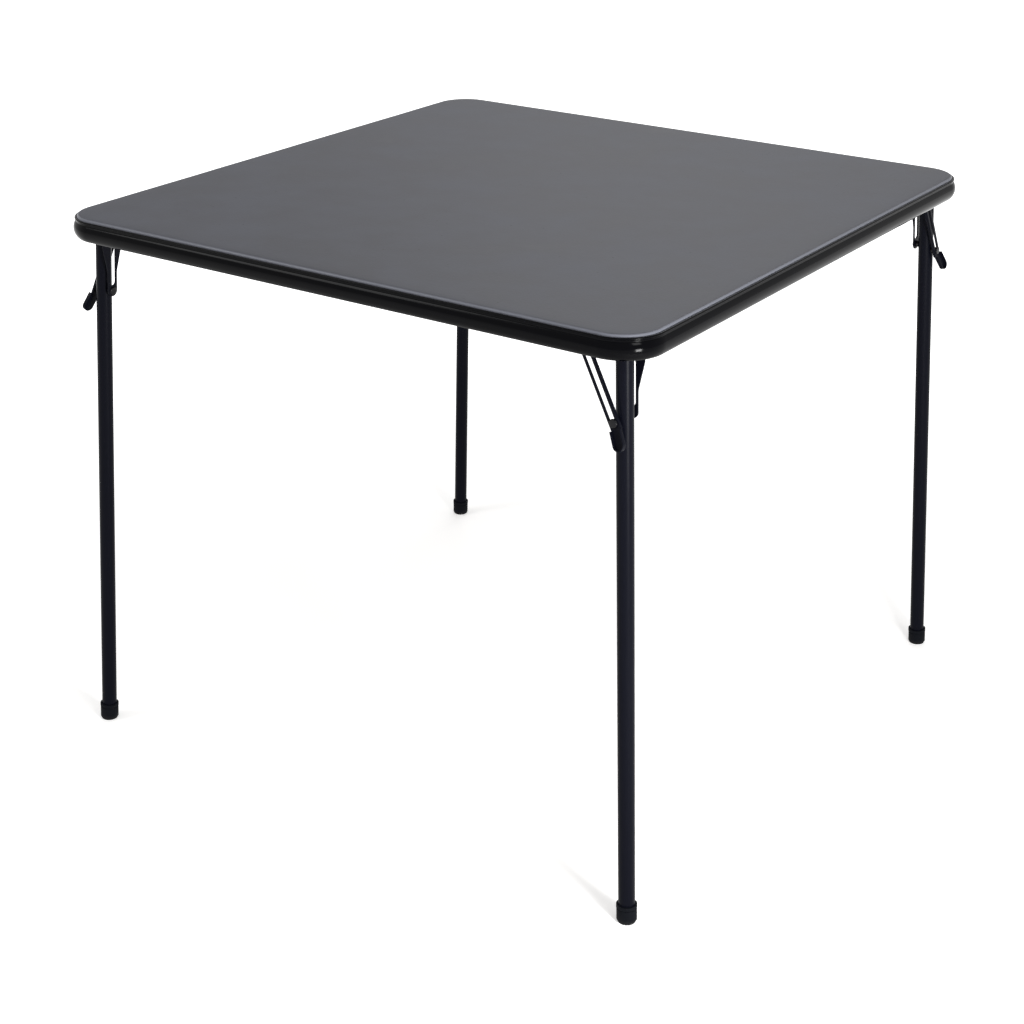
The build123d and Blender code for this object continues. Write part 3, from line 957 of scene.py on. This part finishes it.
@dataclass
class Studio:
    """Pale floor, plain soft lamps, white surroundings and the camera of the photograph."""

    # Place, turn and lens come from a fit of the rim's edges and the legs to the photograph.
    camera_place: tuple = (1.4113, -2.0788, 1.3908)
    camera_yaw: float = 34.697
    camera_pitch: float = 22.359
    focal_share: float = 1961.9 / 1024.0
    axis_row_share: float = 450.0 / 1024.0
    sensor_mm: float = 36.0
    floor_size: float = 14.0
    floor_colour: str = "F4F4F3"
    floor_near: float = 0.5
    floor_far: float = 1.9
    floor_near_glow: float = 0.36
    sky_light: float = 0.55
    # The window lamp stands below the top, so that the vinyl doesn't mirror it.
    lamps: tuple = (
        Lamp("key_lamp", (2.6, -1.3, 2.7), (0.2, -0.2, 0.6), (0.9, 0.9), 26.0),
        Lamp("window_lamp", (1.5, -0.86, 0.52), (0.41, -0.41, 0.7), (0.26, 0.34), 22.0),
        Lamp("fill_lamp", (-2.2, -2.4, 2.6), (0.0, 0.0, 0.6), (1.1, 1.1), 24.0),
        Lamp("back_lamp", (-1.2, 2.6, 2.9), (0.0, 0.0, 0.7), (1.6, 1.6), 18.0),
    )

    def camera(self) -> None:
        """Set up the camera at the photograph's place."""
        bpy.ops.object.select_all(action="DESELECT")
        bpy.ops.object.camera_add(location=self.camera_place, rotation=(
            math.radians(90.0 - self.camera_pitch), 0.0, math.radians(self.camera_yaw),
        ))
        camera = bpy.context.object
        camera.data.sensor_width = self.sensor_mm
        camera.data.lens = self.focal_share * self.sensor_mm
        camera.data.shift_y = self.axis_row_share - 0.5
        camera.data.dof.use_dof = False
        bpy.context.scene.camera = camera

    def seen_directly(self, tree: bpy.types.NodeTree) -> bpy.types.NodeSocket:
        """Say whether a ray comes from the camera, a gloss or a clear material.

        Args:
            tree: the tree that takes the nodes.

        Returns:
            A socket that is 1 for such a ray and 0 for the rest.
        """
        path = add_node(tree, "ShaderNodeLightPath")
        first = add_node(tree, "ShaderNodeMath", {"operation": "MAXIMUM"}, {
            0: path.outputs["Is Camera Ray"], 1: path.outputs["Is Glossy Ray"],
        })
        return add_node(tree, "ShaderNodeMath", {"operation": "MAXIMUM"}, {
            0: first.outputs[0], 1: path.outputs["Is Transmission Ray"],
        }).outputs[0]

    def surroundings(self) -> None:
        """White where it is seen, a plain level where it only lights."""
        world = bpy.data.worlds.new("studio")
        bpy.context.scene.world = world
        world.use_nodes = True
        tree = world.node_tree
        tree.nodes.clear()
        level = add_node(tree, "ShaderNodeMapRange", inputs={
            "Value": self.seen_directly(tree), "To Min": self.sky_light, "To Max": 1.0,
        })
        back = add_node(tree, "ShaderNodeBackground", inputs={
            "Color": hex_colour("FFFFFF"), "Strength": level.outputs["Result"],
        })
        add_node(tree, "ShaderNodeOutputWorld", inputs={"Surface": back.outputs["Background"]})

    def floor(self) -> None:
        """Pale floor that reads as white where no shadow falls."""
        bpy.ops.object.select_all(action="DESELECT")
        bpy.ops.mesh.primitive_plane_add(size=self.floor_size, location=(0.0, 0.0, 0.0))
        floor = bpy.context.object
        floor.name = "studio_floor"
        material = bpy.data.materials.new("matt_paper_floor")
        material.use_nodes = True
        tree = material.node_tree
        tree.nodes.clear()
        paper = add_node(tree, "ShaderNodeBsdfDiffuse", inputs={
            "Color": hex_colour(self.floor_colour),
        })
        seen = self.seen_directly(tree)
        places = add_node(tree, "ShaderNodeTexCoord").outputs["Object"]
        out = add_node(tree, "ShaderNodeVectorMath", {"operation": "LENGTH"}, {0: places})
        away = add_node(tree, "ShaderNodeMapRange", {"interpolation_type": "SMOOTHSTEP"}, {
            "Value": out.outputs["Value"], "From Min": self.floor_near,
            "From Max": self.floor_far, "To Min": self.floor_near_glow, "To Max": 1.0,
        })
        glare = add_node(tree, "ShaderNodeMath", {"operation": "MULTIPLY"}, {
            0: seen, 1: away.outputs["Result"],
        })
        glow = add_node(tree, "ShaderNodeEmission", inputs={"Strength": glare.outputs[0]})
        both = add_node(tree, "ShaderNodeAddShader", inputs={
            0: paper.outputs["BSDF"], 1: glow.outputs["Emission"],
        })
        add_node(tree, "ShaderNodeOutputMaterial", inputs={"Surface": both.outputs["Shader"]})
        dress(floor, material)

    def build(self) -> None:
        """Set up the camera, the floor, the surroundings and the lamps."""
        self.camera()
        self.floor()
        self.surroundings()
        for lamp in self.lamps:
            lamp.build()


@dataclass
class Finishes:
    """Every finish of the table, made once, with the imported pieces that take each."""

    made: dict[str, bpy.types.Material] = field(default_factory=dict)

    def build(self) -> None:
        """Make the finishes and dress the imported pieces."""
        # Stoved gloss enamel: a near-black film with crisp highlights.
        self.made["rim"] = CoatedSteel(
            "stoved_black_enamel", "020204", Sheen.GLOSS, 0.055
        ).build()
        # Powder coat: the same black, a little softer, on tubes and pressings.
        self.made["tube"] = CoatedSteel(
            "black_powder_coat", "0B0C14", Sheen.SATIN, 0.04, ripple_mm=4.0
        ).build()
        # Lacquered rivets: black over a hammered head.
        self.made["rivet"] = CoatedSteel(
            "lacquered_black_rivet", "0A0A0E", Sheen.GLOSS, 0.16, ripple_mm=2.5
        ).build()
        # PVC with a leather grain: a dull sheen that lifts at a low angle.
        self.made["vinyl"] = GrainedVinyl(
            "embossed_pvc_vinyl", "4B4C52", Sheen.DULL, 0.2
        ).build()
        # Rubber: a dry black, dusty near the floor.
        self.made["rubber"] = MouldedRubber(
            "moulded_black_rubber", "06080E", Sheen.MATT, 0.1
        ).build()
        # Hardboard: brown fibre with the net of the screen, seen from below.
        self.made["board"] = Hardboard(
            "screen_backed_hardboard", "62462E", Sheen.MATT, 0.3
        ).build()
        # Zinc: cool grey metal on the screws and the hidden rivets.
        self.made["zinc"] = PlatedSteel("zinc_plated_steel", "B4B5B8", Sheen.SATIN).build()
        rules = {
            "frame_rim": "rim", "top_board": "board", "vinyl_top": "vinyl", "panel_screws": "zinc",
            "bracket_rivets": "zinc", "pivot_rivet": "zinc", "brace_rivet": "zinc",
            "foot_cap": "rubber", "plate_rivet": "rivet", "brace_pin": "rivet",
        }
        for name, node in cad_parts.items():
            kind = next((finish for end, finish in rules.items() if name.endswith(end)), "tube")
            dress(node, self.made[kind])


def main() -> None:
    """Build the table's looks in order and report each piece."""
    logging.basicConfig(level=logging.INFO, format="%(name)s: %(message)s")
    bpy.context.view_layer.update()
    finishes = Finishes()
    finishes.build()
    LOG.info("finishes: %d", len(finishes.made))
    pieces = [Rim(finishes.made["rim"]).build(), PaddedTop(finishes.made["vinyl"]).build()]
    pieces += LegTubes(finishes.made["tube"]).build()
    pieces += Fittings(finishes.made).build()
    for piece in pieces:
        LOG.info("%s: %d faces", piece.name, len(piece.data.polygons))
    Studio().build()
    scene = bpy.context.scene
    scene.view_settings.view_transform = "Standard"


if __name__ == "__main__":
    main()
